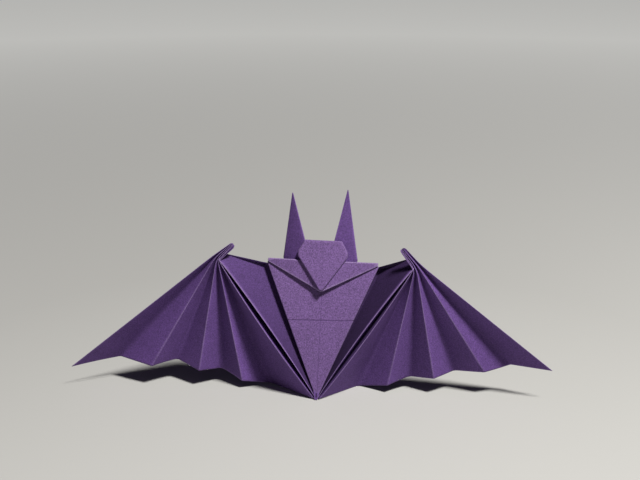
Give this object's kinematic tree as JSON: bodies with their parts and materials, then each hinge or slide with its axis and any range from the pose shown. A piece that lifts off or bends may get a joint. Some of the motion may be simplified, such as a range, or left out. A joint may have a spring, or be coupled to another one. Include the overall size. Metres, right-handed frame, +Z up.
{
  "type": "origami bat",
  "caption": "Origami bat folded from one square sheet: flat chest, turned-down collar, head with pointed ears, and fan-pleated wings ending in small claws.",
  "frame": {"origin": "under the middle of the bat's box, at the height of the table it stands on", "axes": "+X from wing tip to wing tip, -Y the front that the chest and head face, +Z up"},
  "size_m": [0.17, 0.02, 0.0715],
  "materials": {
    "paper": "matt purple paper, the same colour on both faces"
  },
  "bodies": {
    "root": {"folded_sheet": "paper"}
  },
  "joints": []
}
